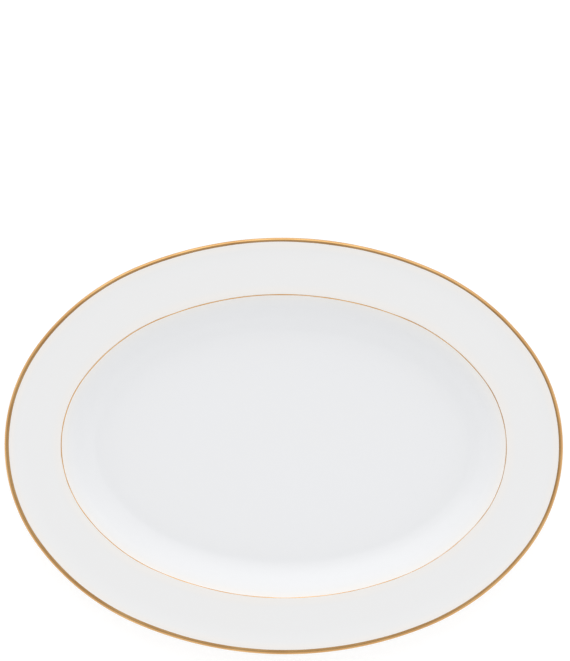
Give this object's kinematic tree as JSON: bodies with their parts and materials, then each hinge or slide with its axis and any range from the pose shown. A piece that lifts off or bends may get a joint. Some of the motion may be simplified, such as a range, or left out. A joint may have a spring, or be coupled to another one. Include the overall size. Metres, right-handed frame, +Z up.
{
  "type": "serving platter",
  "caption": "Oval glazed porcelain serving platter with a broad flat rim, a shallow well, a foot ring to stand on and gilt lines round its edge and well.",
  "frame": {"origin": "middle of the foot ring, on the surface that the platter stands on", "axes": "+X along the platter's length, +Y across its width, +Z up out of the well"},
  "size_m": [0.356, 0.2656, 0.0223],
  "materials": {
    "bisque": "matte",
    "glaze": "gloss",
    "gilding": "polished"
  },
  "bodies": {
    "root": {"porcelain_body": "bisque", "glaze_coat": "glaze", "base_glaze": "glaze", "edge_gilding": "gilding", "verge_gilding": "gilding"}
  },
  "joints": []
}
